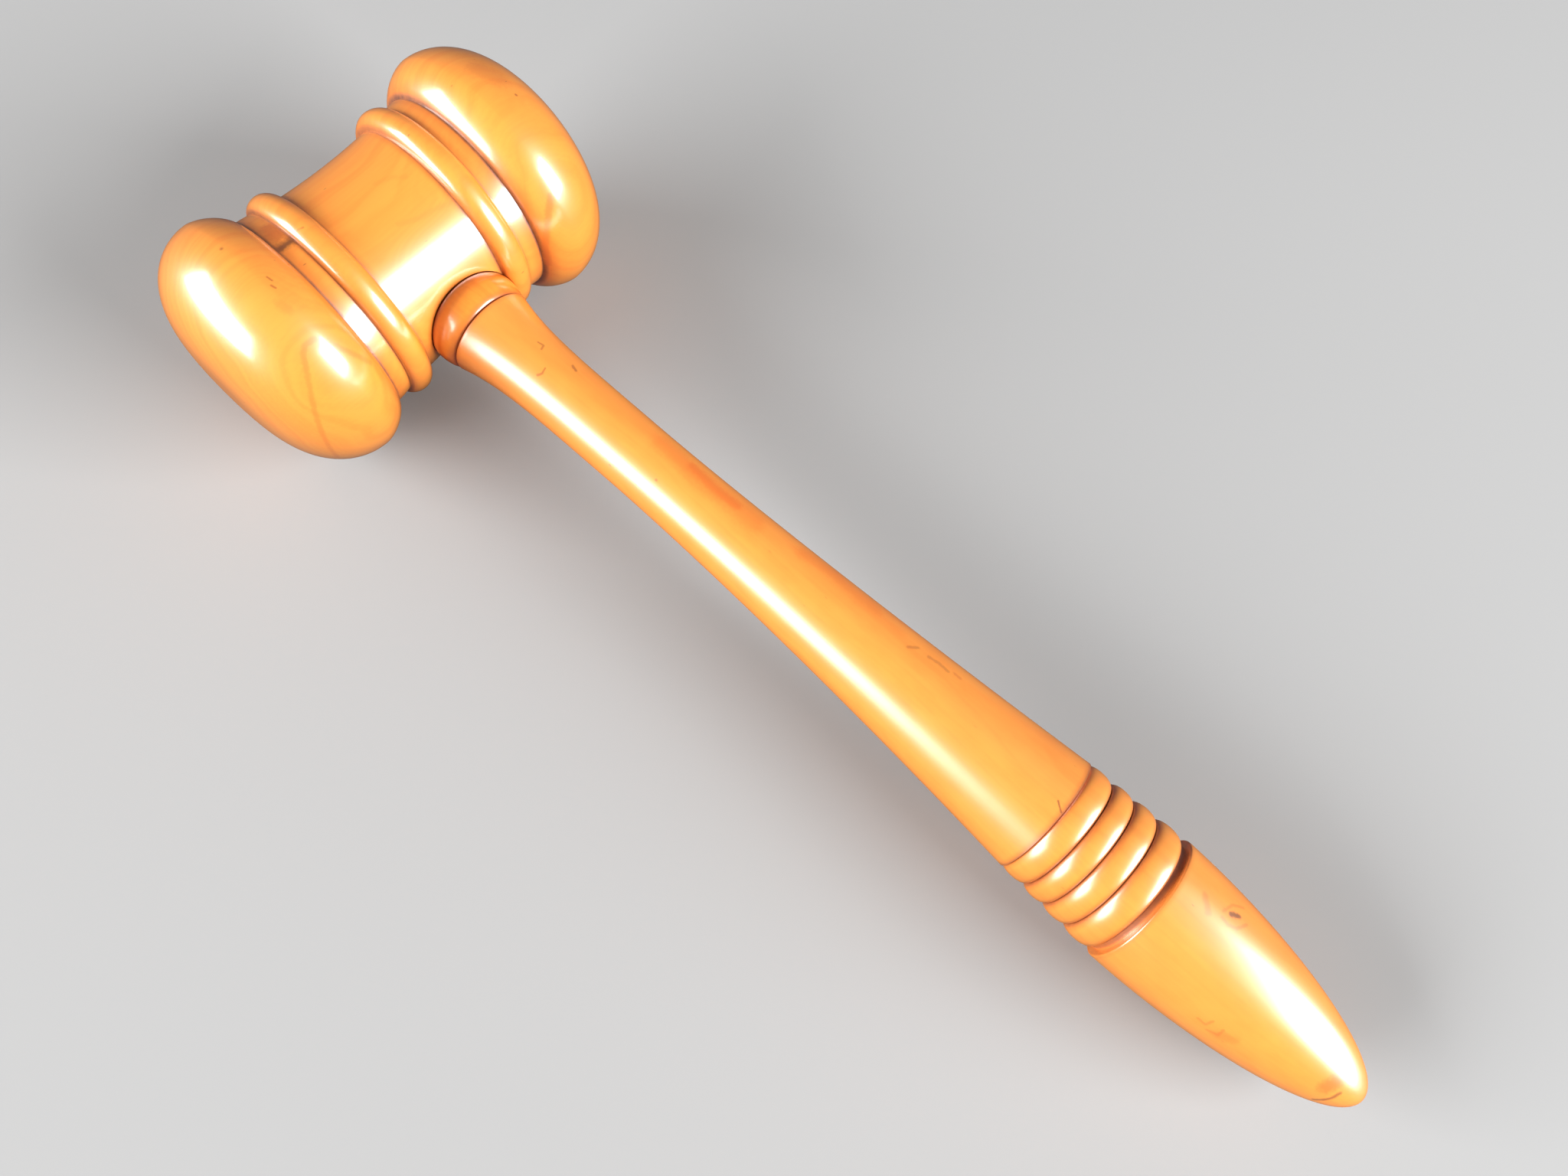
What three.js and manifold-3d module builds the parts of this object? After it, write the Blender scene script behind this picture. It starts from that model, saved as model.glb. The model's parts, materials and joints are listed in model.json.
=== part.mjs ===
import * as THREE from 'three';
import { mergeVertices } from 'three/addons/utils/BufferGeometryUtils.js';
import Module from 'manifold-3d';

const wasm = await Module();
wasm.setup();

// A turned wooden gavel in three pieces: the head, a loose collar ring, and a handle that screws through
// the collar into the head. Lengths are in millimetres. It lies on its two knobs and the butt of its handle,
// with +X along the head, -Y from the head to the tip of the handle and +Z up.

// Running gap between two pieces, and how far a cutter runs past the face that it opens.
const clearance = 0.3;
const overrun = 2;

// Head, turned about X and measured from the middle of its waist.
const waistLength = 20.8;
const waistRadius = 19.6;
const waistDip = 0.4;
const beadWidth = 5.3;
const beadRadius = 22.1;
const bandWidth = 3.5;
const bandInnerRadius = 20.1;
const bandOuterRadius = 20.8;
const bandCrown = 0.2;
const knobRadius = 25.1;
const leftKnobWidth = 21.4;
const rightKnobWidth = 20.5;
const faceRadius = 4;
const boreOffset = 1.35;

// Handle, turned about its own axis and measured from the axis of the head.
const shoulderReach = 24.9;
const neckRadius = 9.1;
const slimRadius = 6.95;
const shaftLength = 136.4;
const shaftEndRadius = 12;
const ringWidth = 5.05;
const firstRingRadius = 12.2;
const lastRingRadius = 12.95;
const grooveDepth = 1.2;
const finialGap = 1.2;
const finialRadius = 13.2;
const finialLength = 49.4;
const tenonRadius = 6;
const tenonChamfer = 1;

// Screw thread, right handed, cut on the tenon and in the bore.
const threadPitch = 3;
const threadDepth = 1;
const threadRootWidth = 1.7;
const threadCrestWidth = 0.7;

// Collar ring, with its outside a full round from its foot in the waist to its mouth at the handle.
const collarRadius = 10.4;
const collarFootRadius = 6.9;
const collarMouthRadius = 8.3;
const collarSeatDepth = 1.1;

// Counts, and shares of the sizes above.
const ringShares = [1.04, 0.92, 0.98, 1.06];
const threadTurns = 5.5;
const leadTurns = 0.5;
const slimShare = 0.28;
const flarePower = 5;
const swellPower = 1.6;
const flankPower = 1.6;
const facePower = 3;
const ringPower = 2.2;
const finialPower = 1.8;
const knobFlankShare = 0.31;
const headSides = 40;
const handleSides = 32;
const collarSides = 40;
const stepsPerTurn = 24;
const shaftSteps = 18;
const roundSteps = 6;
const domeSteps = 9;

// Places along the handle that follow from the sizes. The collar's foot sits just below the waist's surface.
const seatRadius = collarFootRadius + clearance;
const collarSeat = Math.sqrt((waistRadius - waistDip) ** 2 - seatRadius ** 2) - collarSeatDepth;
const collarFoot = collarSeat + clearance;
const collarMouth = shoulderReach - clearance;
const collarMiddle = (collarFoot + collarMouth) / 2;
const threadStart = collarSeat - clearance - threadTurns * threadPitch;
const tenonStart = threadStart - threadRootWidth / 2 - tenonChamfer;
const tenonRoot = tenonRadius - threadDepth;

// Points of a quarter of a superellipse, as shares of its two half axes. One share falls as the other grows.
function quarterRound(steps, fallingPower = 2, growingPower = 2) {
  const points = [];
  for (let step = 0; step <= steps; step += 1) {
    const angle = (step / steps) * (Math.PI / 2);
    points.push([Math.cos(angle) ** (2 / fallingPower), Math.sin(angle) ** (2 / growingPower)]);
  }
  return points;
}

// A half round moulding that runs along the axis from one foot to the other.
function halfRound(start, length, startFoot, endFoot, crown, power = 2) {
  const middle = start + length / 2;
  const rise = quarterRound(roundSteps / 2, power, power);
  const half = length / 2;
  const up = rise.map(([along, out]) => [startFoot + (crown - startFoot) * out, middle - along * half]);
  const down = rise.map(([along, out]) => [endFoot + (crown - endFoot) * out, middle + along * half]);
  return [...up, ...down.reverse().slice(1)];
}

function lathe(outline, sides) {
  return new THREE.LatheGeometry(outline.map(([radius, along]) => new THREE.Vector2(radius, along)), sides);
}

function toSolid(geometry, placement = new THREE.Matrix4()) {
  const bare = geometry.clone().applyMatrix4(placement);
  bare.deleteAttribute('normal');
  bare.deleteAttribute('uv');
  const merged = mergeVertices(bare);
  const corners = merged.getIndex().array;
  const triangles = [];
  for (let first = 0; first < corners.length; first += 3) {
    const [a, b, c] = corners.slice(first, first + 3);
    if (a !== b && b !== c && c !== a) triangles.push(a, b, c);
  }
  return new wasm.Manifold(new wasm.Mesh({
    numProp: 3,
    vertProperties: new Float32Array(merged.getAttribute('position').array),
    triVerts: new Uint32Array(triangles),
  }));
}

function toGeometry(solid) {
  const { vertProperties, triVerts } = solid.getMesh();
  const geometry = new THREE.BufferGeometry();
  geometry.setAttribute('position', new THREE.BufferAttribute(new Float32Array(vertProperties), 3));
  geometry.setIndex(new THREE.BufferAttribute(new Uint32Array(triVerts), 1));
  geometry.computeVertexNormals();
  return geometry;
}

// A closed screw ridge about Y. Grown by a margin it is the groove that the ridge turns in.
function screwRidge(firstTurn, lastTurn, margin) {
  const section = [
    [tenonRoot - threadDepth / 2, -threadRootWidth / 2 - margin],
    [tenonRoot + margin, -threadRootWidth / 2 - margin],
    [tenonRadius + margin, -threadCrestWidth / 2 - margin],
    [tenonRadius + margin, threadCrestWidth / 2 + margin],
    [tenonRoot + margin, threadRootWidth / 2 + margin],
    [tenonRoot - threadDepth / 2, threadRootWidth / 2 + margin],
  ];
  const steps = Math.round((lastTurn - firstTurn) * stepsPerTurn);
  const positions = [];
  const triangles = [];
  for (let step = 0; step <= steps; step += 1) {
    const turn = firstTurn + step / stepsPerTurn;
    const angle = turn * Math.PI * 2;
    for (const [radius, along] of section) {
      positions.push(radius * Math.cos(angle), turn * threadPitch + along, -radius * Math.sin(angle));
    }
  }
  const count = section.length;
  for (let step = 0; step < steps; step += 1) {
    for (let side = 0; side < count; side += 1) {
      const here = step * count + side;
      const next = step * count + ((side + 1) % count);
      triangles.push(here, here + count, next, next, here + count, next + count);
    }
  }
  for (let side = 1; side < count - 1; side += 1) {
    triangles.push(0, side, side + 1);
    const last = steps * count;
    triangles.push(last, last + side + 1, last + side);
  }
  const geometry = new THREE.BufferGeometry();
  geometry.setAttribute('position', new THREE.Float32BufferAttribute(positions, 3));
  geometry.setIndex(triangles);
  return geometry;
}

// The collar's round underside, from its foot to its widest. Grown by a gap it is the seat in the waist.
function collarUnderside(gap) {
  return quarterRound(roundSteps).map(([along, out]) => [
    collarFootRadius + gap + (collarRadius - collarFootRadius) * out,
    collarMiddle - (collarMiddle - collarFoot + gap) * along,
  ]);
}

// The head's outline on one side of the middle of the waist, out to the flat on the striking face.
function headHalf(knobWidth) {
  const waistEnd = waistLength / 2;
  const bandStart = waistEnd + beadWidth;
  const knobStart = bandStart + bandWidth;
  const widest = knobStart + knobWidth * knobFlankShare;
  const domeLength = knobWidth * (1 - knobFlankShare);
  const dome = quarterRound(domeSteps, facePower, 2).map(([out, along]) => [
    knobRadius * out,
    widest + domeLength * along,
  ]);
  const face = widest + domeLength * Math.sqrt(1 - (faceRadius / knobRadius) ** facePower);
  const flank = quarterRound(roundSteps, flankPower, flankPower).map(([along, out]) => [
    bandOuterRadius + (knobRadius - bandOuterRadius) * out,
    widest - (widest - knobStart) * along,
  ]);
  return [
    [waistRadius - waistDip, 0],
    [waistRadius - waistDip * (3 / 4), waistEnd / 2],
    ...halfRound(waistEnd, beadWidth, waistRadius, bandInnerRadius, beadRadius),
    [bandOuterRadius + bandCrown, bandStart + bandWidth / 2],
    ...flank,
    ...dome.slice(1).filter(([radius]) => radius > faceRadius),
    [faceRadius, face],
    [0, face],
  ];
}

function shaftRadius(share) {
  const flare = Math.max(0, 1 - share / slimShare) ** flarePower;
  const swell = Math.max(0, (share - slimShare) / (1 - slimShare)) ** swellPower;
  return slimRadius + (neckRadius - slimRadius) * flare + (shaftEndRadius - slimRadius) * swell;
}

function handleOutline() {
  const outline = [
    [0, tenonStart],
    [tenonRoot - tenonChamfer, tenonStart],
    [tenonRoot, tenonStart + tenonChamfer],
    [tenonRoot, collarSeat],
    [tenonRadius, collarSeat + threadDepth],
    [tenonRadius, shoulderReach],
  ];
  for (let step = 0; step <= shaftSteps; step += 1) {
    const share = (step / shaftSteps) ** (3 / 2);
    outline.push([shaftRadius(share), shoulderReach + shaftLength * share]);
  }
  let along = shoulderReach + shaftLength;
  ringShares.forEach((share, ring) => {
    const crown = firstRingRadius + (lastRingRadius - firstRingRadius) * (ring / (ringShares.length - 1));
    const foot = crown - grooveDepth;
    outline.push(...halfRound(along, ringWidth * share, foot, foot, crown, ringPower));
    along += ringWidth * share;
  });
  along += finialGap;
  outline.push([lastRingRadius - grooveDepth, along]);
  for (const [out, forward] of quarterRound(domeSteps, 2, finialPower)) {
    outline.push([finialRadius * out, along + finialLength * forward]);
  }
  return outline;
}

// The slope at which the first point of the handle comes down to the surface that the knobs lie on.
function restingSlope(outline) {
  const slopes = outline
    .filter(([radius, along]) => Math.hypot(radius, along) > knobRadius)
    .map(([radius, along]) => Math.asin(knobRadius / Math.hypot(radius, along)) - Math.atan2(radius, along));
  return Math.min(...slopes);
}

const outline = handleOutline();
const slope = restingSlope(outline);
const reaches = outline.map(([radius, along]) => along * Math.cos(slope) + radius * Math.sin(slope));
const tipReach = Math.max(...reaches);
const alongHandle = new THREE.Matrix4()
  .makeRotationX(Math.PI + slope)
  .setPosition(boreOffset, 0, 0);

function headSolid() {
  const left = headHalf(leftKnobWidth).map(([radius, along]) => [radius, -along]).reverse();
  const profile = [...left, ...headHalf(rightKnobWidth).slice(1)];
  const blank = toSolid(lathe(profile, headSides), new THREE.Matrix4().makeRotationZ(-Math.PI / 2));
  const mouth = beadRadius + overrun;
  const boreRadius = tenonRoot + clearance;
  const bore = lathe([
    [0, tenonStart - clearance],
    [boreRadius, tenonStart - clearance],
    [boreRadius, mouth],
    [0, mouth],
  ], handleSides);
  const seat = lathe([
    [0, collarSeat],
    ...collarUnderside(clearance),
    [collarRadius + clearance, mouth],
    [0, mouth],
  ], collarSides);
  const groove = screwRidge(-leadTurns, threadTurns + leadTurns + overrun / threadPitch, clearance);
  const alongThread = alongHandle.clone().multiply(new THREE.Matrix4().makeTranslation(0, threadStart, 0));
  return blank
    .subtract(toSolid(bore, alongHandle))
    .subtract(toSolid(seat, alongHandle))
    .subtract(toSolid(groove, alongThread));
}

function handleSolid() {
  const ridge = screwRidge(0, threadTurns, 0);
  const alongThread = new THREE.Matrix4().makeTranslation(0, threadStart, 0);
  return toSolid(lathe(outline, handleSides)).add(toSolid(ridge, alongThread));
}

function collarGeometry() {
  const bore = tenonRadius + clearance;
  const mouthRound = quarterRound(roundSteps).slice(1).map(([out, along]) => [
    collarMouthRadius + (collarRadius - collarMouthRadius) * out,
    collarMiddle + (collarMouth - collarMiddle) * along,
  ]);
  const outside = [[bore, collarFoot], ...collarUnderside(0), ...mouthRound, [bore, collarMouth]];
  return lathe([...outside, outside[0]], collarSides);
}

const gavel = new THREE.Group();
gavel.position.set((leftKnobWidth - rightKnobWidth) / 2, (tipReach - knobRadius) / 2, knobRadius);

const head = new THREE.Mesh(
  toGeometry(headSolid()),
  new THREE.MeshStandardMaterial({ color: 0xf2b264, roughness: 0.3, metalness: 0 }),
);
head.name = 'head';
gavel.add(head);

const stick = new THREE.Group();
stick.position.setFromMatrixPosition(alongHandle);
stick.rotation.setFromRotationMatrix(alongHandle);
gavel.add(stick);

const handle = new THREE.Mesh(
  toGeometry(handleSolid()),
  new THREE.MeshStandardMaterial({ color: 0xf4b566, roughness: 0.3, metalness: 0 }),
);
handle.name = 'handle';
stick.add(handle);

const collarRing = new THREE.Mesh(
  collarGeometry(),
  new THREE.MeshStandardMaterial({ color: 0xd67a3a, roughness: 0.3, metalness: 0 }),
);
collarRing.name = 'collar_ring';
stick.add(collarRing);

export default gavel;
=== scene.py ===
import json
import math
import bpy
from mathutils import Euler, Matrix, Vector
from mathutils.bvhtree import BVHTree


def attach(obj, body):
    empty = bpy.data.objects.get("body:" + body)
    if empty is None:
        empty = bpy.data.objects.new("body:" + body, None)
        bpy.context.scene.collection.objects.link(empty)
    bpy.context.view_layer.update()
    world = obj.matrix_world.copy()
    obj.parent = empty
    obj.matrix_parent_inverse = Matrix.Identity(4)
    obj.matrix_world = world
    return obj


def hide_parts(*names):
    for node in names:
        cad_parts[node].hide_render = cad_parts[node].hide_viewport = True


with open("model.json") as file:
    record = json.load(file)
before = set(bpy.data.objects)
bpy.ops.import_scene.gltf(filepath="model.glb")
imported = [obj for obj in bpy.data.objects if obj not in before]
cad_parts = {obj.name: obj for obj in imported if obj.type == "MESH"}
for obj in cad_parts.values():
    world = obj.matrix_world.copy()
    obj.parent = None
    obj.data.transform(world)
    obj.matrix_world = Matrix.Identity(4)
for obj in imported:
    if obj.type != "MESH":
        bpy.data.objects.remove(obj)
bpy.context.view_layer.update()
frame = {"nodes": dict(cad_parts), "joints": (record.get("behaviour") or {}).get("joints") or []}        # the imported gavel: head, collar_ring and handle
print("frame loaded:", sorted(frame["nodes"]))

mm = 0.001               # the gavel's sizes are in millimetres, and the studio's are in metres

# The gavel is three turned pieces. The head is turned about X, and the collar ring and the handle about
# the screw's axis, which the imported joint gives. Outlines are (radius, place along the axis), and a third
# number rounds that corner off by so much.

screw = next(joint for joint in frame["joints"] if joint["name"] == "handle_screw")
screwCentre = Vector(screw["pos_m"])
screwAxis = Vector(screw["axis"]).normalized()
acrossAxis = Vector((1, 0, 0))       # the head's own axis, which is square to the screw's
upAxis = Vector((0, 0, 1))


# Modelling helpers

meshing = {
    "mergeDistance": 0.002,
    "sliverSize": 0.004,
    "smoothAngle": 40.0,
}


def deselectAll():
    bpy.ops.object.select_all(action="DESELECT")


def takeUp(piece):                   # makes one object the selected and active one
    deselectAll()
    piece.select_set(True)
    bpy.context.view_layer.objects.active = piece


def quarterRound(steps, falling=2.0, growing=2.0):   # a superellipse quarter, as shares of its half axes
    angles = [step / steps * math.pi / 2 for step in range(steps + 1)]
    return [(math.cos(angle) ** (2 / falling), math.sin(angle) ** (2 / growing)) for angle in angles]


def halfRound(start, length, startFoot, endFoot, crown, power=2.0, steps=16):
    middle = start + length / 2
    rise = quarterRound(steps, power, power)
    up = [(startFoot + (crown - startFoot) * out, middle - along * length / 2) for along, out in rise]
    down = [(endFoot + (crown - endFoot) * out, middle + along * length / 2) for along, out in rise]
    return up + down[-2::-1]


def softenCorners(outline, steps=4):
    soft = []
    for before, corner, after in zip(outline[:1] + outline, outline, outline[1:] + outline[-1:]):
        place = Vector(corner[:2])
        if len(corner) == 2:
            soft.append(place)
            continue
        back = (Vector(before[:2]) - place).normalized() * corner[2]
        ahead = (Vector(after[:2]) - place).normalized() * corner[2]
        shares = [step / steps for step in range(steps + 1)]
        soft.extend(place + back * (1 - share) ** 2 + ahead * share ** 2 for share in shares)
    return soft


def drawOutline(name, points):       # one point of a small plane, extruded from place to place
    deselectAll()
    bpy.ops.mesh.primitive_plane_add(size=mm, location=points[0])
    piece = bpy.context.object
    piece.name = piece.data.name = name
    bpy.ops.object.mode_set(mode="EDIT")
    bpy.ops.mesh.merge(type="CENTER")
    for last, point in zip(points, points[1:]):
        bpy.ops.mesh.extrude_region_move(TRANSFORM_OT_translate={"value": point - last})
    bpy.ops.object.mode_set(mode="OBJECT")
    bpy.ops.object.transform_apply(location=True, rotation=True, scale=True)
    return piece


def turnPiece(name, outline, centre, axis, side, steps):
    points = [centre + side * radius * mm + axis * along * mm for radius, along in softenCorners(outline)]
    piece = drawOutline(name, points)
    bpy.ops.object.mode_set(mode="EDIT")
    bpy.ops.mesh.select_all(action="SELECT")
    bpy.ops.mesh.spin(steps=steps, angle=math.tau, center=centre, axis=axis)
    bpy.ops.mesh.select_all(action="SELECT")
    bpy.ops.mesh.remove_doubles(threshold=meshing["mergeDistance"] * mm)
    bpy.ops.mesh.normals_make_consistent(inside=False)
    bpy.ops.object.mode_set(mode="OBJECT")
    return piece


def useModifier(piece, kind, **settings):
    takeUp(piece)
    modifier = piece.modifiers.new(kind.lower(), kind)
    for name, value in settings.items():
        setattr(modifier, name, value)
    bpy.ops.object.modifier_apply(modifier=modifier.name)


def joinOrCut(piece, tool, operation):
    useModifier(piece, "BOOLEAN", object=tool, operation=operation, solver="MANIFOLD")
    bpy.data.objects.remove(tool)


def mergeSlivers(piece):             # the cuts leave needle-thin triangles, which are merged away
    takeUp(piece)
    bpy.ops.object.mode_set(mode="EDIT")
    bpy.ops.mesh.select_all(action="SELECT")
    bpy.ops.mesh.remove_doubles(threshold=meshing["sliverSize"] * mm)
    bpy.ops.mesh.dissolve_degenerate(threshold=meshing["sliverSize"] * mm)
    bpy.ops.mesh.normals_make_consistent(inside=False)
    bpy.ops.object.mode_set(mode="OBJECT")


def finishPiece(piece, body, node):
    mergeSlivers(piece)
    bpy.ops.object.shade_smooth_by_angle(angle=math.radians(meshing["smoothAngle"]))
    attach(piece, body)
    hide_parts(node)
    print(piece.name, "made:", len(piece.data.polygons), "faces")


# Screw thread, right handed, on the handle's tenon and in the head

thread = {
    "pitch": 3.0,
    "depth": 1.0,
    "rootWidth": 1.7,
    "crestWidth": 0.7,
    "tenonRadius": 6.0,
    "turns": 5.5,
    "leadTurns": 0.5,                # how far the groove starts before the ridge
    "overrunTurns": 1.0,             # how far the groove runs out past its lead, into the seat
    "clearance": 0.3,
    "stepsPerTurn": 40,
}


def makeCoil(name, start, firstTurn, lastTurn, margin):
    root = thread["tenonRadius"] - thread["depth"]
    halfRoot = thread["rootWidth"] / 2 + margin
    halfCrest = thread["crestWidth"] / 2 + margin
    section = [
        (root - thread["depth"] / 2, -halfRoot),
        (root + margin, -halfRoot),
        (root + thread["depth"] + margin, -halfCrest),
        (root + thread["depth"] + margin, halfCrest),
        (root + margin, halfRoot),
        (root - thread["depth"] / 2, halfRoot),
    ]
    rise = firstTurn * thread["pitch"]
    points = [Vector((radius, 0, rise + along)) * mm for radius, along in section]
    coil = drawOutline(name, points)
    bpy.ops.object.mode_set(mode="EDIT")
    bpy.ops.mesh.select_all(action="SELECT")
    bpy.ops.mesh.edge_face_add()
    bpy.ops.mesh.delete(type="ONLY_FACE")
    bpy.ops.object.mode_set(mode="OBJECT")
    turns = lastTurn - firstTurn
    steps = round(turns * thread["stepsPerTurn"])
    useModifier(
        coil, "SCREW", axis="Z", angle=turns * math.tau, screw_offset=turns * thread["pitch"] * mm,
        steps=steps, render_steps=steps, use_merge_vertices=False,
    )
    bpy.ops.object.mode_set(mode="EDIT")
    bpy.ops.mesh.select_all(action="SELECT")
    bpy.ops.mesh.fill_holes(sides=0)
    bpy.ops.mesh.normals_make_consistent(inside=False)
    bpy.ops.object.mode_set(mode="OBJECT")
    turn = Matrix.Rotation(firstTurn * math.tau, 4, "Z")
    stand = Matrix((acrossAxis, screwAxis.cross(acrossAxis), screwAxis)).transposed().to_4x4()
    coil.matrix_world = Matrix.Translation(screwCentre + screwAxis * start * mm) @ stand @ turn
    takeUp(coil)
    bpy.ops.object.transform_apply(location=True, rotation=True, scale=True)
    return coil


# Head, with the collar ring's sizes beside it, because the seat in the waist is cut to the ring

headShape = {
    "waistLength": 20.8,
    "waistRadius": 19.6,
    "waistDip": 0.4,
    "beadWidth": 5.3,
    "beadRadius": 22.1,
    "bandWidth": 3.5,
    "bandInnerRadius": 20.25,
    "bandOuterRadius": 20.65,
    "bandCrown": 0.08,
    "knobRadius": 25.1,
    "leftKnobWidth": 21.4,
    "rightKnobWidth": 20.5,
    "knobFlankShare": 0.31,
    "flankPower": 1.6,
    "facePower": 3.0,
    "faceRadius": 4.0,
    "boreOffset": 1.35,
    "cutOverrun": 2.0,
    "waistSteps": 6,
    "bandSteps": 6,
    "flankSteps": 14,
    "faceSteps": 30,
    "sides": 160,
}

collarShape = {
    "radius": 9.8,
    "footRadius": 6.6,
    "mouthRadius": 8.3,
    "mouthReach": 24.75,
    "edgeRound": 0.2,
    "seatDepth": 1.1,
    "seatGap": 0.15,
    "roundSteps": 20,
    "sides": 128,
}

collarSeat = -collarShape["seatDepth"] + math.sqrt(
    (headShape["waistRadius"] - headShape["waistDip"]) ** 2
    - (collarShape["footRadius"] + thread["clearance"]) ** 2
)
threadStart = collarSeat - thread["clearance"] - thread["turns"] * thread["pitch"]
tenonStart = threadStart - thread["rootWidth"] / 2 - thread["depth"]
tenonRoot = thread["tenonRadius"] - thread["depth"]


def headHalf(shape, knobWidth):      # from the middle of the waist out to the flat of the striking face
    waistEnd = shape["waistLength"] / 2
    bandStart = waistEnd + shape["beadWidth"]
    knobStart = bandStart + shape["bandWidth"]
    widest = knobStart + knobWidth * shape["knobFlankShare"]
    domeLength = knobWidth * (1 - shape["knobFlankShare"])
    knobRadius = shape["knobRadius"]
    bandInner = shape["bandInnerRadius"]
    bandOuter = shape["bandOuterRadius"]
    rest = shape["waistRadius"] - shape["waistDip"]
    waistSteps = shape["waistSteps"]
    dip = [
        (rest + shape["waistDip"] * (step / waistSteps) ** 2, waistEnd * step / waistSteps)
        for step in range(waistSteps)
    ]
    bead = halfRound(waistEnd, shape["beadWidth"], shape["waistRadius"], bandInner, shape["beadRadius"])
    bandSteps = shape["bandSteps"]
    band = [
        (
            bandInner + (bandOuter - bandInner) * step / bandSteps
            + shape["bandCrown"] * math.sin(step / bandSteps * math.pi),
            bandStart + shape["bandWidth"] * step / bandSteps,
        )
        for step in range(1, bandSteps)
    ]
    flank = [
        (bandOuter + (knobRadius - bandOuter) * out, widest - (widest - knobStart) * along)
        for along, out in quarterRound(shape["flankSteps"], shape["flankPower"], shape["flankPower"])
    ]
    dome = [
        (knobRadius * out, widest + domeLength * along)
        for out, along in quarterRound(shape["faceSteps"], shape["facePower"])
    ]
    faceShare = shape["faceRadius"] / knobRadius
    face = widest + domeLength * math.sqrt(1 - faceShare ** shape["facePower"])
    dome = [point for point in dome[1:] if point[0] > shape["faceRadius"]]
    return dip + bead + band + flank + dome + [(shape["faceRadius"], face), (0, face)]


def collarUnderside(shape, gap):     # from the foot to the widest, and with a gap the seat in the waist
    foot = collarSeat + thread["clearance"]
    middle = (foot + shape["mouthReach"]) / 2
    footRadius = shape["footRadius"]
    return [
        (footRadius + gap + (shape["radius"] - footRadius) * out, middle - (middle - foot + gap) * along)
        for along, out in quarterRound(shape["roundSteps"])
    ]


def makeHead(shape):
    left = [(radius, -along) for radius, along in headHalf(shape, shape["leftKnobWidth"])]
    outline = left[:0:-1] + headHalf(shape, shape["rightKnobWidth"])
    centre = screwCentre - acrossAxis * shape["boreOffset"] * mm
    head = turnPiece("head_turned", outline, centre, acrossAxis, upAxis, shape["sides"])
    mouth = shape["beadRadius"] + shape["cutOverrun"]
    boreRadius = tenonRoot + thread["clearance"]
    boreEnd = tenonStart - thread["clearance"]
    seat = collarUnderside(collarShape, collarShape["seatGap"])
    bore = [(0, boreEnd), (boreRadius, boreEnd), (boreRadius, collarSeat)] + seat
    bore += [(seat[-1][0], mouth), (0, mouth)]
    cutter = turnPiece("bore", bore, screwCentre, screwAxis, acrossAxis, collarShape["sides"])
    joinOrCut(head, cutter, "DIFFERENCE")
    lastTurn = thread["turns"] + thread["leadTurns"] + thread["overrunTurns"]
    groove = makeCoil("groove", threadStart, -thread["leadTurns"], lastTurn, thread["clearance"])
    joinOrCut(head, groove, "DIFFERENCE")
    finishPiece(head, "head", "head")
    return head


# Collar ring

def makeCollar(shape):
    underside = collarUnderside(shape, 0)
    middle = underside[-1][1]
    mouth = shape["mouthReach"]
    mouthRadius = shape["mouthRadius"]
    bore = thread["tenonRadius"] + thread["clearance"]
    over = [
        (mouthRadius + (shape["radius"] - mouthRadius) * out, middle + (mouth - middle) * along)
        for out, along in quarterRound(shape["roundSteps"])
    ]
    outline = [
        (bore, middle),
        (bore, underside[0][1], shape["edgeRound"]),
        *underside,
        *over[1:],
        (bore, mouth, shape["edgeRound"]),
        (bore, middle),
    ]
    collar = turnPiece("collar_turned", outline, screwCentre, screwAxis, acrossAxis, shape["sides"])
    finishPiece(collar, "collar_ring", "collar_ring")
    return collar


# Handle

handleShape = {
    "shoulderReach": 24.9,
    "neckRadius": 9.1,
    "slimRadius": 6.95,
    "shaftLength": 136.4,
    "shaftEndRadius": 12.0,
    "slimShare": 0.28,
    "flarePower": 5.0,
    "swellPower": 1.6,
    "ringWidth": 5.05,
    "ringShares": (1.04, 0.92, 0.98, 1.06),
    "firstRingRadius": 12.2,
    "lastRingRadius": 12.95,
    "ringPower": 2.2,
    "grooveDepth": 1.2,
    "finialGap": 1.2,
    "finialRadius": 13.2,
    "finialLength": 49.4,
    "finialPower": 1.8,
    "edgeRound": 0.35,
    "tenonChamfer": 1.0,
    "bow": 0.97,
    "bowReach": 25.0,                # what the rings, their gap and a little more add to the bowed length
    "bowGrip": 3.0,
    "shaftSteps": 60,
    "shaftSpacingPower": 1.5,        # sets the steps closer together at the neck
    "finialSteps": 48,
    "sides": 128,
}


def shaftRadius(shape, share):
    flare = max(0.0, 1 - share / shape["slimShare"]) ** shape["flarePower"]
    swell = max(0.0, (share - shape["slimShare"]) / (1 - shape["slimShare"])) ** shape["swellPower"]
    neck = (shape["neckRadius"] - shape["slimRadius"]) * flare
    return shape["slimRadius"] + neck + (shape["shaftEndRadius"] - shape["slimRadius"]) * swell


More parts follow.
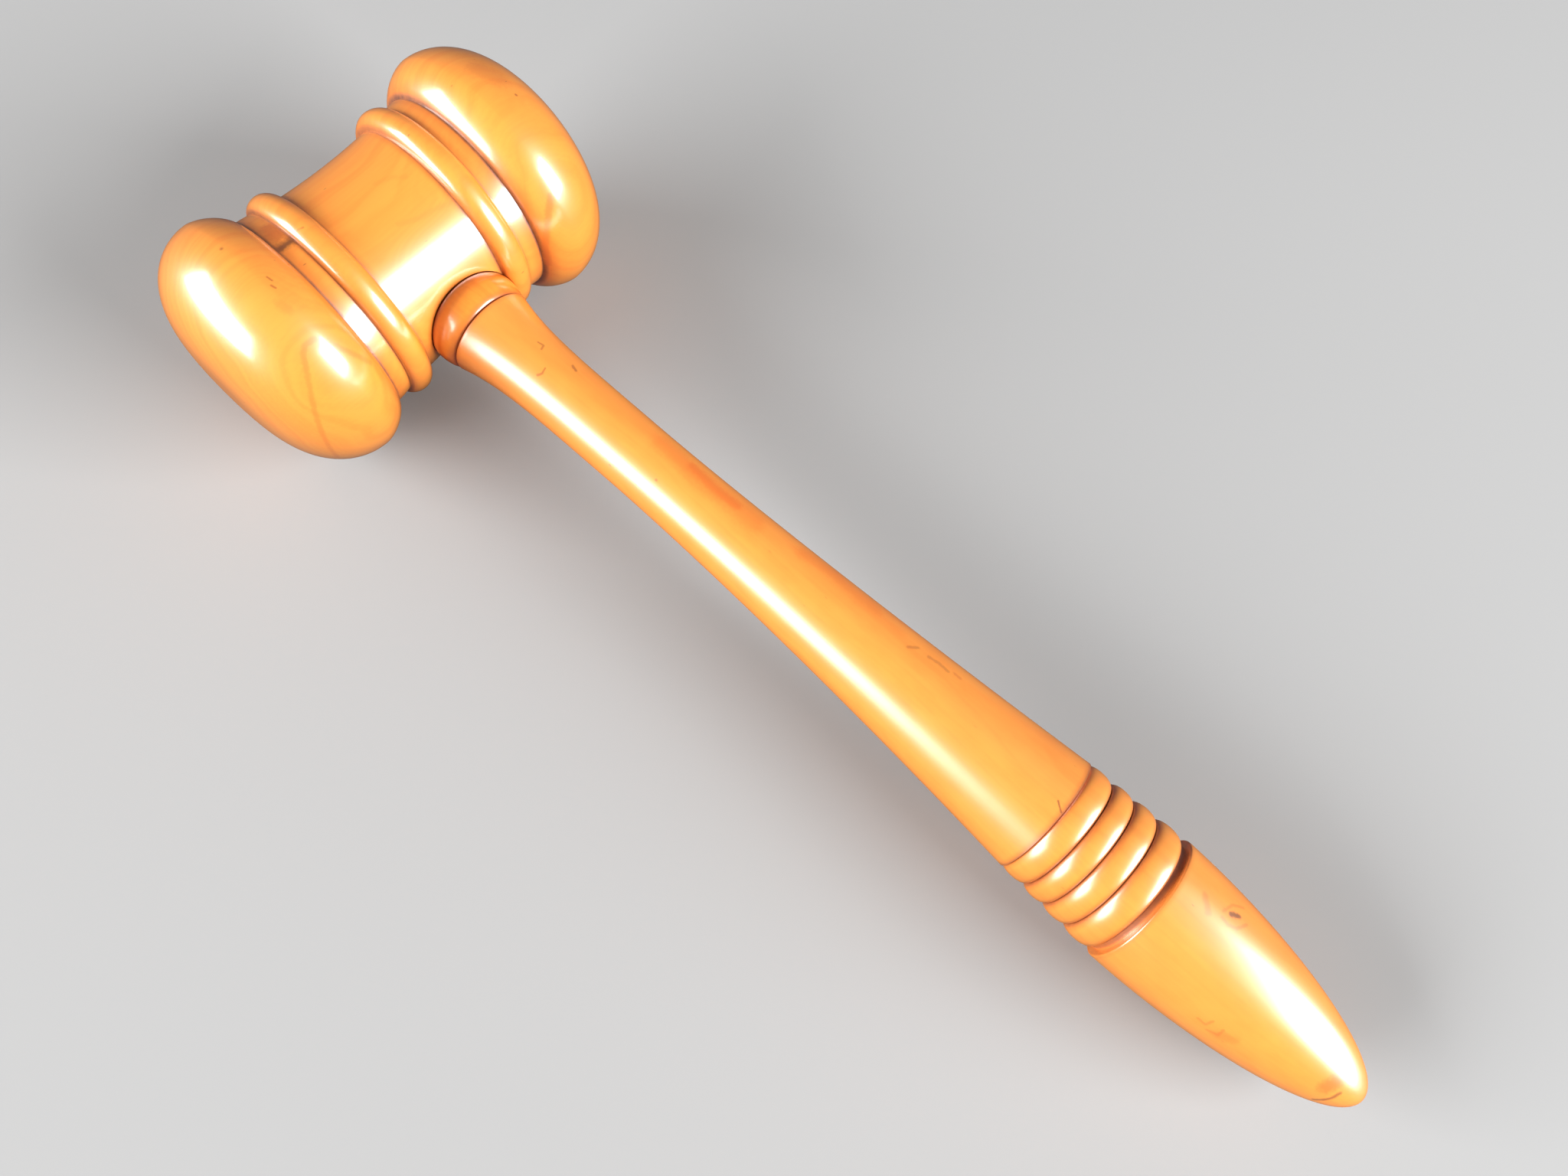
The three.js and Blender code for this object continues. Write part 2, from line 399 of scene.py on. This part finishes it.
def handleOutline(shape):
    chamfer = shape["tenonChamfer"]
    shoulder = shape["shoulderReach"]
    outline = [
        (0, tenonStart),
        (tenonRoot - chamfer, tenonStart),
        (tenonRoot, tenonStart + chamfer),
        (tenonRoot, collarSeat),
        (thread["tenonRadius"], collarSeat + thread["depth"]),
        (thread["tenonRadius"], shoulder),
        (shaftRadius(shape, 0), shoulder, shape["edgeRound"]),
    ]
    for step in range(2, shape["shaftSteps"] + 1):   # the shoulder's rounding takes the place of the first
        share = (step / shape["shaftSteps"]) ** shape["shaftSpacingPower"]
        outline.append((shaftRadius(shape, share), shoulder + shape["shaftLength"] * share))
    along = shoulder + shape["shaftLength"]
    growth = (shape["lastRingRadius"] - shape["firstRingRadius"]) / (len(shape["ringShares"]) - 1)
    for ring, widthShare in enumerate(shape["ringShares"]):
        crown = shape["firstRingRadius"] + growth * ring
        foot = crown - shape["grooveDepth"]
        width = shape["ringWidth"] * widthShare
        outline.extend(halfRound(along, width, foot, foot, crown, shape["ringPower"]))
        along += width
    along += shape["finialGap"]
    outline.append((shape["lastRingRadius"] - shape["grooveDepth"], along))
    finial = [
        (shape["finialRadius"] * out, along + shape["finialLength"] * forward)
        for out, forward in quarterRound(shape["finialSteps"], growing=shape["finialPower"])
    ]
    return outline + [(*finial[0], shape["edgeRound"])] + finial[1:]


def bowHandle(handle, shape):        # the stick's slight natural curve, from the collar to the tip
    tip = shape["shoulderReach"] + shape["shaftLength"] + shape["finialLength"] + shape["bowReach"]
    middle = (shape["shoulderReach"] + tip) / 2
    takeUp(handle)
    bpy.ops.object.mode_set(mode="EDIT")
    bpy.ops.mesh.select_mode(type="VERT")
    bpy.ops.mesh.select_all(action="DESELECT")
    bpy.ops.object.mode_set(mode="OBJECT")
    for corner in handle.data.vertices:
        along = (corner.co - screwCentre).dot(screwAxis) / mm
        corner.select = abs(along - middle) < shape["bowGrip"]
    bpy.ops.object.mode_set(mode="EDIT")
    bpy.ops.transform.translate(
        value=acrossAxis * shape["bow"] * mm, use_proportional_edit=True,
        proportional_edit_falloff="INVERSE_SQUARE", proportional_size=(tip - middle) * mm,
    )
    bpy.ops.object.mode_set(mode="OBJECT")


def makeHandle(shape):
    outline = handleOutline(shape)
    handle = turnPiece("handle_turned", outline, screwCentre, screwAxis, acrossAxis, shape["sides"])
    ridge = makeCoil("ridge", threadStart, 0, thread["turns"], 0)
    joinOrCut(handle, ridge, "UNION")
    finishPiece(handle, "handle", "handle")
    bowHandle(handle, shape)
    return handle


head = makeHead(headShape)
collar = makeCollar(collarShape)
handle = makeHandle(handleShape)


# Camera: close above the left of the handle, as the photograph was taken

cameraPlace = {
    "location": (-55.86, -31.17, 214.29),
    "rotation": (18.803, -3.454, -48.783),
    "lens": 25.835,
    "sensor": 36.0,
    "nearest": 10.0,
    "photoSize": (2048, 1536),
}


def makeCamera(settings):
    lens = bpy.data.cameras.new("camera")
    lens.sensor_width = settings["sensor"]
    lens.lens = settings["lens"]
    lens.clip_start = settings["nearest"] * mm
    camera = bpy.data.objects.new("camera", lens)
    camera.location = Vector(settings["location"]) * mm
    camera.rotation_euler = [math.radians(angle) for angle in settings["rotation"]]
    bpy.context.scene.collection.objects.link(camera)
    bpy.context.scene.camera = camera


def pixelWidth(settings, distance):  # how wide the view of one pixel of the photograph is at that distance
    return settings["sensor"] / settings["lens"] / settings["photoSize"][0] * distance


def sightLine(settings, pixel):      # the way from the camera through a pixel of the photograph
    across, down = (
        (at - size / 2) * pixelWidth(settings, 1) for at, size in zip(pixel, settings["photoSize"])
    )
    turn = Euler([math.radians(angle) for angle in settings["rotation"]]).to_matrix()
    return turn @ Vector((across, -down, -1))


makeCamera(cameraPlace)
print("camera made")


# Shader maths: a socket that can be added, multiplied and so on

class Socket:
    def __init__(self, tree, socket=None):
        self.tree = tree
        self.socket = socket

    def node(self, kind, settings, inputs, output=0):
        made = self.tree.nodes.new("ShaderNode" + kind)
        for name, value in settings.items():
            setattr(made, name, value)
        for name, value in inputs.items():
            if isinstance(value, Socket):
                self.tree.links.new(value.socket, made.inputs[name])
            else:
                made.inputs[name].default_value = value
        return Socket(self.tree, made.outputs[output]) if made.outputs else made

    def math(self, operation, first, second=0.0, clamp=False):
        return self.node("Math", {"operation": operation, "use_clamp": clamp}, {0: first, 1: second})

    def __add__(self, other):
        return self.math("ADD", self, other)

    def __radd__(self, other):
        return self.math("ADD", other, self)

    def __sub__(self, other):
        return self.math("SUBTRACT", self, other)

    def __rsub__(self, other):
        return self.math("SUBTRACT", other, self)

    def __mul__(self, other):
        return self.math("MULTIPLY", self, other)

    def __rmul__(self, other):
        return self.math("MULTIPLY", other, self)

    def __truediv__(self, other):
        return self.math("DIVIDE", self, other)

    def __abs__(self):
        return self.math("ABSOLUTE", self)


def mixColour(share, first, second):
    settings = {"data_type": "RGBA", "blend_type": "MIX", "clamp_factor": True}
    return share.node("Mix", settings, {0: share, 6: first, 7: second}, output=2)


def between(value, low, high):       # 0 below low, 1 above high, smooth in between
    settings = {"interpolation_type": "SMOOTHSTEP"}
    return value.node("MapRange", settings, {"Value": value, "From Min": low, "From Max": high})


def fading(value, low, high):        # 1 below low, 0 above high, smooth in between
    return 1 - between(value, low, high)


def vectorMath(operation, first, second, output="Vector"):
    return first.node("VectorMath", {"operation": operation}, {0: first, 1: second}, output=output)


def length(vector):
    return vector.node("VectorMath", {"operation": "LENGTH"}, {0: vector}, output="Value")


def noise(place, scale, detail, roughness, stretch=(1, 1, 1)):
    stretched = vectorMath("MULTIPLY", place, stretch)
    inputs = {"Vector": stretched, "Scale": scale, "Detail": detail, "Roughness": roughness}
    return place.node("TexNoise", {}, inputs)


def moved(place, centre, turn=(0, 0, 0), size=(1, 1, 1)):   # the same place, seen from a patch of that size
    inputs = {"Vector": place, "Location": centre, "Rotation": turn, "Scale": size}
    return place.node("Mapping", {"vector_type": "TEXTURE"}, inputs)


def fromPath(place, path):           # distance from a line that runs from point to point
    nearest = length(vectorMath("SUBTRACT", place, path[0]))
    for start, end in zip(path, path[1:]):
        span = end - start
        away = vectorMath("SUBTRACT", place, start)
        share = vectorMath("DOT_PRODUCT", away, span / span.length_squared, "Value")
        share = place.math("ADD", share, 0.0, clamp=True)
        foot = place.node("VectorMath", {"operation": "SCALE"}, {0: span, "Scale": share})
        nearest = place.math("MINIMUM", nearest, length(vectorMath("SUBTRACT", away, foot)))
    return nearest


# Wood: growth layers round a pith outside the piece, blotches, fine fibres along it, pores, creases with
# dirt and painted shade in and beside them, and marks

boxwood = {
    "pale": (0.98, 0.340, 0.046, 1),
    "ripe": (0.96, 0.290, 0.036, 1),
    # late wood, and also the painted shade beside every crease
    "lateWoodAndShade": (0.66, 0.150, 0.018, 1),
    "warm": (0.86, 0.180, 0.014, 1),
    "fleck": (0.26, 0.064, 0.010, 1),
    # grime for marks, and also the dirt with painted shade in every crease
    "grimeAndShade": (0.06, 0.015, 0.010, 1),
}

darkBoxwood = {
    "pale": (0.96, 0.320, 0.036, 1),
    "ripe": (0.88, 0.250, 0.024, 1),
    # late wood, and also the painted shade beside the collar's creases
    "lateWoodAndShade": (0.50, 0.080, 0.012, 1),
    "fleck": (0.24, 0.045, 0.012, 1),
    # grime, and also the dirt with painted shade in the collar's creases
    "grimeAndShade": (0.08, 0.018, 0.012, 1),
}

# Each piece's growth layers, how dense its lacquer looks and how rough its coat is

headLook = {
    "tones": boxwood,
    "pithPlace": (0, 60, -35),
    "pithTilt": (0, 0.06, 0.05),
    "layerWander": 14,
    "layerShare": 0.6,
    "density": 1.85,
    "coatRoughness": 0.16,
}

handleLook = {
    "tones": boxwood,
    "pithPlace": (0, 22, 30),
    "pithTilt": (0, 0.02, 0.02),
    "layerWander": 6,
    "layerShare": 0.25,
    "density": 1.95,
    "coatRoughness": 0.29,
}

collarLook = {
    "tones": darkBoxwood,
    "pithPlace": (0, 30, 10),
    "pithTilt": (0, 0.3, 0.2),
    "layerWander": 6,
    "layerShare": 0.3,
    "density": 1.6,
    "coatRoughness": 0.18,
}

patterns = {                         # scale, detail, roughness and sometimes the stretch of each noise
    "wander": (0.05, 2, 0.5, (0.5, 1, 1)),
    "fibres": (1.0, 4, 0.6, (0.03, 1.6, 1.6)),
    "cloud": (0.06, 2, 0.5),
    "blotches": (0.32, 3, 0.6, (0.45, 1, 1)),
    "poreGroups": (0.11, 1, 0.5),
    "dirtAndShadePatches": (0.6, 3, 0.6),
    "speck": (1.6, 3, 0.6),
}

wood = {
    "noiseMiddle": 0.5,
    "layers": {"Scale": 0.55, "Detail": 3.0, "Roughness": 0.6},
    "figureShare": 0.7,              # the growth layers and the blotches together
    "fibreShare": 0.3,
    "ripeRange": (0.36, 0.68),
    "lateRange": (0.6, 0.74),
    "lateDepth": 0.06,
    "cloudRange": (0.45, 0.75),
    "cloudDepth": 0.35,
    "poreSpacing": (6.0, 1.8, 1.8),
    "poreRange": (0.03, 0.09),
    "poreGroupRange": (0.52, 0.62),
    "poreDepth": 0.7,
    "patchLeast": 0.6,
    "patchSwing": 0.8,
    "markRange": (0.2, 1.0),
    "markSpeck": 0.9,
    "bumpStrength": 0.06,
    "bumpHeight": 0.03,
    "fibreBump": 0.15,
    "roughness": 0.27,
    "cloudRoughness": 0.08,
    "fibreRoughness": 0.08,
    "dirtAndShadeRoughness": 0.3,
    "coatDensity": 1.6,
}


def growthLayers(place, look):
    wander = noise(place, *patterns["wander"]) - wood["noiseMiddle"]
    fromPith = moved(place, look["pithPlace"], look["pithTilt"])
    flat = vectorMath("MULTIPLY", fromPith, (0, 1, 1))
    layer = length(flat) + wander * look["layerWander"]
    return place.node("TexNoise", {"noise_dimensions": "1D"}, {"W": layer, **wood["layers"]})


def woodPores(place):
    cells = moved(place, (0, 0, 0), size=wood["poreSpacing"])
    voronoi = place.node("TexVoronoi", {}, {"Vector": cells, "Scale": 1.0}, output="Distance")
    chosen = noise(place, *patterns["poreGroups"])
    return fading(voronoi, *wood["poreRange"]) * between(chosen, *wood["poreGroupRange"])


def creaseDirtAndShade(place, creases):    # painted shade with stain beside the nearest crease, and painted shade with dirt in it
    stainAndShade = None
    dirtAndShade = None
    alongGrain = place.node("SeparateXYZ", {}, {0: place}, output="X")
    for crease in creases:
        apart = abs(alongGrain - crease["along"])
        shadedStain = fading(apart, 0.0, crease["stainAndShadeWidth"]) * crease["stainAndShadeDepth"]
        shadedDirt = fading(apart, 0.0, crease["dirtAndShadeWidth"]) * crease["dirtAndShadeDepth"]
        stainAndShade = shadedStain if stainAndShade is None else place.math("MAXIMUM", stainAndShade, shadedStain)
        dirtAndShade = shadedDirt if dirtAndShade is None else place.math("MAXIMUM", dirtAndShade, shadedDirt)
    return stainAndShade, dirtAndShade


def woodMaterial(name, look, centre, turn, creases, strokes):
    tones = look["tones"]
    material = bpy.data.materials.new(name)
    material.use_nodes = True
    material.node_tree.nodes.clear()
    shade = Socket(material.node_tree)
    space = shade.node("TexCoord", {}, {}, output="Object")
    place = moved(space, centre, turn, (mm, mm, mm))     # in mm, x along the grain

    layers = growthLayers(place, look)
    fibres = noise(place, *patterns["fibres"])
    cloud = noise(place, *patterns["cloud"])
    blotches = noise(place, *patterns["blotches"])
    figure = layers * look["layerShare"] + blotches * (wood["figureShare"] - look["layerShare"])
    grain = between(figure + fibres * wood["fibreShare"], *wood["ripeRange"])
    colour = mixColour(grain, tones["pale"], tones["ripe"])
    colour = mixColour(between(layers, *wood["lateRange"]) * wood["lateDepth"], colour, tones["lateWoodAndShade"])
    colour = mixColour(between(cloud, *wood["cloudRange"]) * wood["cloudDepth"], colour, tones["ripe"])

    pores = woodPores(place)
    colour = mixColour(pores * wood["poreDepth"], colour, tones["fleck"])

    # Painted shade in and beside each crease, with some stain and dirt in it, patchy round the piece
    stainAndShade, dirtAndShade = creaseDirtAndShade(place, creases)
    patchy = wood["patchLeast"] + wood["patchSwing"] * noise(place, *patterns["dirtAndShadePatches"])
    colour = mixColour(stainAndShade * patchy, colour, tones["lateWoodAndShade"])
    colour = mixColour(dirtAndShade * patchy, colour, tones["grimeAndShade"])

    speck = noise(place, *patterns["speck"]) - wood["noiseMiddle"]
    for tone, depth, width, path in strokes:
        edge = fromPath(place, path) / width + speck * wood["markSpeck"]
        colour = mixColour(fading(edge, *wood["markRange"]) * depth, colour, tones[tone])

    height = fibres * wood["fibreBump"] - pores
    bumpSettings = {"Strength": wood["bumpStrength"], "Distance": wood["bumpHeight"] * mm, "Height": height}
    bump = shade.node("Bump", {}, bumpSettings, output="Normal")
    roughness = wood["roughness"] + wood["cloudRoughness"] * cloud + wood["fibreRoughness"] * fibres
    # rougher where the crease's dirt is
    roughness = roughness + dirtAndShade * wood["dirtAndShadeRoughness"]
    surface = shade.node(
        "BsdfPrincipled", {},
        {"Base Color": colour, "Roughness": roughness, "Normal": bump, "IOR": look["density"],
         "Coat Weight": 1.0, "Coat Roughness": look["coatRoughness"], "Coat IOR": wood["coatDensity"]},
    )
    shade.node("OutputMaterial", {}, {"Surface": surface})
    return material


# Creases between the turned forms: how wide and deep the dirt and painted shade in one is, and the stain
# and painted shade beside it

creaseKinds = {
    "waist": {"dirtAndShadeWidth": 0.5, "dirtAndShadeDepth": 0.5, "stainAndShadeWidth": 1.6, "stainAndShadeDepth": 0.5},
    "band": {"dirtAndShadeWidth": 0.4, "dirtAndShadeDepth": 0.5, "stainAndShadeWidth": 1.0, "stainAndShadeDepth": 0.35},
    "knob": {"dirtAndShadeWidth": 0.6, "dirtAndShadeDepth": 0.75, "stainAndShadeWidth": 2.6, "stainAndShadeDepth": 0.6},
    "shoulder": {"dirtAndShadeWidth": 0.35, "dirtAndShadeDepth": 0.35, "stainAndShadeWidth": 1.2, "stainAndShadeDepth": 0.5},
    "ring": {"dirtAndShadeWidth": 0.5, "dirtAndShadeDepth": 0.45, "stainAndShadeWidth": 1.3, "stainAndShadeDepth": 0.7},
    "finial": {"dirtAndShadeWidth": 0.8, "dirtAndShadeDepth": 0.5, "stainAndShadeWidth": 1.8, "stainAndShadeDepth": 0.7},
    # the seat's wide dark band is painted shade on the ring beside the waist, with a little dirt
    "seat": {"dirtAndShadeWidth": 1.6, "dirtAndShadeDepth": 0.5, "stainAndShadeWidth": 3.4, "stainAndShadeDepth": 0.7},
    # the mouth's dark line is painted shadow under the neck's edge, with some grime
    "mouth": {"dirtAndShadeWidth": 0.5, "dirtAndShadeDepth": 0.4, "stainAndShadeWidth": 1.8, "stainAndShadeDepth": 0.6},
}

seatCreaseRise = 1.6


def crease(kind, along):
    return {"along": along, **creaseKinds[kind]}


def headCreases(shape):
    waistEnd = shape["waistLength"] / 2
    bandStart = waistEnd + shape["beadWidth"]
    knobStart = bandStart + shape["bandWidth"]
    for side in (-1, 1):
        yield crease("waist", side * waistEnd)
        yield crease("band", side * bandStart)
        yield crease("knob", side * knobStart)


def handleCreases(shape):
    along = shape["shoulderReach"]
    yield crease("shoulder", along)
    along += shape["shaftLength"]
    yield crease("ring", along)
    for widthShare in shape["ringShares"]:
        along += shape["ringWidth"] * widthShare
        yield crease("ring", along)
    yield crease("finial", along + shape["finialGap"] / 2)


def collarCreases(shape):
    yield crease("seat", collarSeat + seatCreaseRise)
    yield crease("mouth", shape["mouthReach"])


# Marks of use and flecks in the wood: tone, depth, and the width and path of a stroke in pixels of the
# photograph, which are cast from the camera onto the piece

headMarks = {
    "leftDot": ("fleck", 0.7, 3.5, [(289, 325)]),
    "upperTick": ("fleck", 0.6, 2.2, [(349, 362), (355, 366)]),
    "lowerTick": ("fleck", 0.6, 2.2, [(354, 373), (360, 376)]),
    "tickShade": ("lateWoodAndShade", 0.25, 10, [(366, 397), (375, 404)]),
    "leftArch": ("lateWoodAndShade", 0.42, 5, [
        (442, 597), (428, 580), (417, 556), (407, 520), (400, 482), (396, 462),
        (399, 450), (409, 443), (425, 445), (445, 455), (465, 464), (484, 474),
    ]),
    "bandStain": ("lateWoodAndShade", 0.8, 13, [(348, 298), (362, 309)]),
    "bandKnot": ("fleck", 0.6, 10, [(364, 325), (381, 314)]),
    "bandScar": ("grimeAndShade", 0.55, 5, [(366, 325), (379, 316)]),
    "beadHair": ("fleck", 0.5, 2, [(383, 305), (396, 297)]),
    "shortWave": ("lateWoodAndShade", 0.14, 5, [(490, 240), (510, 232), (530, 231)]),
    "longWave": ("lateWoodAndShade", 0.16, 5, [(520, 293), (548, 285), (570, 272), (587, 266)]),
    "rightDot": ("fleck", 0.7, 3, [(674, 124)]),
    "rightStreak": ("lateWoodAndShade", 0.6, 7, [(719, 257), (716, 282), (712, 320), (716, 345)]),
    "rightShade": ("lateWoodAndShade", 0.35, 22, [(625, 90), (650, 102)]),
}

handleMarks = {
    "neckHook": ("fleck", 0.55, 2.4, [(703, 447), (710, 451), (707, 456)]),
    "neckCurl": ("fleck", 0.6, 2.2, [(702, 490), (708, 488), (712, 481)]),
    "neckFleck": ("fleck", 0.6, 3.4, [(748, 478), (752, 484)]),
    "shaftGlow": ("warm", 0.7, 12, [(905, 610), (934, 638), (962, 660)]),
    "shaftStain": ("warm", 0.4, 24, [(866, 579), (924, 630), (985, 682)]),
    "swellStain": ("warm", 0.4, 20, [(1051, 723), (1090, 750), (1142, 794)]),
    "shaftDot": ("fleck", 0.6, 3, [(857, 627)]),
    "swellFleck": ("fleck", 0.4, 4, [(1186, 845), (1199, 846)]),
    "swellTrail": ("fleck", 0.35, 4.4, [(1213, 858), (1226, 866), (1238, 877)]),
    "swellTail": ("lateWoodAndShade", 0.5, 4, [(1247, 880), (1254, 886)]),
    "ringCrack": ("fleck", 0.8, 2, [(1382, 1046), (1386, 1061)]),
    "knotEye": ("grimeAndShade", 0.75, 5.5, [(1608, 1194), (1618, 1197)]),
    "knotLowerArc": ("lateWoodAndShade", 0.5, 3.4, [(1596, 1198), (1604, 1208), (1616, 1213), (1628, 1208)]),
    "knotUpperArc": ("lateWoodAndShade", 0.45, 3, [(1598, 1190), (1610, 1182), (1624, 1186)]),
    "finialBlush": ("lateWoodAndShade", 0.5, 7, [(1574, 1170), (1578, 1192)]),
    "firstCurl": ("fleck", 0.3, 3, [(1565, 1330), (1574, 1338), (1584, 1334)]),
    "secondCurl": ("fleck", 0.3, 3, [(1576, 1345), (1590, 1352), (1598, 1346)]),
    "curlShade": ("lateWoodAndShade", 0.35, 12, [(1592, 1352), (1610, 1358)]),
    "thirdCurl": ("fleck", 0.3, 3, [(1688, 1336), (1697, 1341), (1705, 1337)]),
    "lastCurl": ("fleck", 0.6, 3, [(1703, 1357), (1712, 1363)]),
    "tipArc": ("grimeAndShade", 0.6, 4, [(1716, 1436), (1733, 1436), (1750, 1428)]),
    "tipShade": ("lateWoodAndShade", 0.7, 16, [(1733, 1420), (1748, 1410)]),
}


def placeMarks(piece, marks, centre, turn):    # each mark as a stroke in mm, in the piece's turned frame
    corners = [corner.co for corner in piece.data.vertices]
    surface = BVHTree.FromPolygons(corners, [tuple(face.vertices) for face in piece.data.polygons])
    eye = Vector(cameraPlace["location"]) * mm
    straighten = turn.to_matrix().inverted()
    for tone, depth, width, pixels in marks.values():
        spots = [surface.ray_cast(eye, sightLine(cameraPlace, pixel))[0] for pixel in pixels]
        path = [straighten @ (spot - centre) / mm for spot in spots]
        yield tone, depth, width * pixelWidth(cameraPlace, (spots[0] - eye).length / mm), path


def giveWood(piece, name, look, centre, turn, creases, marks):
    strokes = placeMarks(piece, marks, centre, turn)
    piece.data.materials.clear()     # a cut leaves an empty slot behind
    piece.data.materials.append(woodMaterial(name, look, centre, turn, creases, strokes))
    print(name, "made:", len(marks), "marks")


headCentre = screwCentre - acrossAxis * headShape["boreOffset"] * mm
headTurn = Euler((0, 0, 0))
screwTurn = Matrix((screwAxis, acrossAxis, screwAxis.cross(acrossAxis))).transposed().to_euler()

giveWood(
    head, "polished boxwood head", headLook, headCentre, headTurn,
    headCreases(headShape), headMarks,
)
giveWood(
    handle, "polished boxwood handle", handleLook, screwCentre, screwTurn,
    handleCreases(handleShape), handleMarks,
)
giveWood(
    collar, "polished dark boxwood", collarLook, screwCentre, screwTurn,
    collarCreases(collarShape), {},
)


# Studio: a plain pale floor, two window-like soft lamps and a pale surround

studio = {
    "floorSize": 8.0,
    "floorFade": (0.42, 0.8),                    # how far out the floor turns into the surround
    "floorSeen": (0.38, 0.38, 0.38, 1),          # what the camera sees, and reflections in part
    "floorBounce": (0.06, 0.06, 0.06, 1),        # what throws light back on the gavel
    "surroundSeen": (0.55, 0.55, 0.55, 1),
    "fill": (0.12, 0.12, 0.12, 1),               # the surround's own light
    "mirroredShare": 0.1,
    "lampAim": (0, 0, 0.02),
    "lamps": [
        {
            "name": "left window", "azimuth": 147.0, "elevation": 21.0, "distance": 1.3,
            "width": 1.4, "height": 0.7, "radiance": 13.4,
        },
        {
            "name": "front window", "azimuth": 290.0, "elevation": 23.0, "distance": 1.3,
            "width": 0.9, "height": 0.75, "radiance": 19.3,
        },
    ],
}


def seenShare(shade, settings):      # 1 for what the camera sees, also through glass, less in reflections
    seen = shade.node("LightPath", {}, {}, output="Is Camera Ray")
    through = shade.node("LightPath", {}, {}, output="Is Transmission Ray")
    mirrored = shade.node("LightPath", {}, {}, output="Is Glossy Ray")
    return shade.math("MAXIMUM", seen, shade.math("MAXIMUM", through, mirrored * settings["mirroredShare"]))


def makeFloor(settings):
    deselectAll()
    bpy.ops.mesh.primitive_plane_add(size=settings["floorSize"])
    floor = bpy.context.object
    floor.name = "floor"
    material = bpy.data.materials.new("pale floor")
    material.use_nodes = True
    material.node_tree.nodes.clear()
    shade = Socket(material.node_tree)
    seen = seenShare(shade, settings)
    colour = mixColour(seen, settings["floorBounce"], settings["floorSeen"])
    surface = shade.node("BsdfDiffuse", {}, {"Color": colour})
    far = between(length(shade.node("TexCoord", {}, {}, output="Object")), *settings["floorFade"])
    surround = shade.node("Emission", {}, {"Color": settings["surroundSeen"]})
    surface = shade.node("MixShader", {}, {0: far * seen, 1: surface, 2: surround})
    shade.node("OutputMaterial", {}, {"Surface": surface})
    floor.data.materials.append(material)


def makeLamp(lamp, target):
    azimuth = math.radians(lamp["azimuth"])      # turned from +X towards +Y
    elevation = math.radians(lamp["elevation"])
    flatReach = math.cos(elevation)
    away = Vector((math.cos(azimuth) * flatReach, math.sin(azimuth) * flatReach, math.sin(elevation)))
    light = bpy.data.lights.new(lamp["name"], "AREA")
    light.shape = "RECTANGLE"
    light.size = lamp["width"]
    light.size_y = lamp["height"]
    light.energy = lamp["radiance"] * math.pi * lamp["width"] * lamp["height"]
    holder = bpy.data.objects.new(lamp["name"], light)
    holder.location = target + away * lamp["distance"]
    holder.rotation_euler = away.to_track_quat("Z", "Y").to_euler()
    bpy.context.scene.collection.objects.link(holder)


def makeSurround(settings):
    world = bpy.data.worlds.new("surround")
    world.use_nodes = True
    world.node_tree.nodes.clear()
    sky = Socket(world.node_tree)
    colour = mixColour(seenShare(sky, settings), settings["fill"], settings["surroundSeen"])
    background = sky.node("Background", {}, {"Color": colour, "Strength": 1.0})
    sky.node("OutputWorld", {}, {"Surface": background})
    bpy.context.scene.world = world


makeFloor(studio)
for lamp in studio["lamps"]:
    makeLamp(lamp, Vector(studio["lampAim"]))
makeSurround(studio)
bpy.context.scene.view_settings.view_transform = "Standard"
print("studio made")
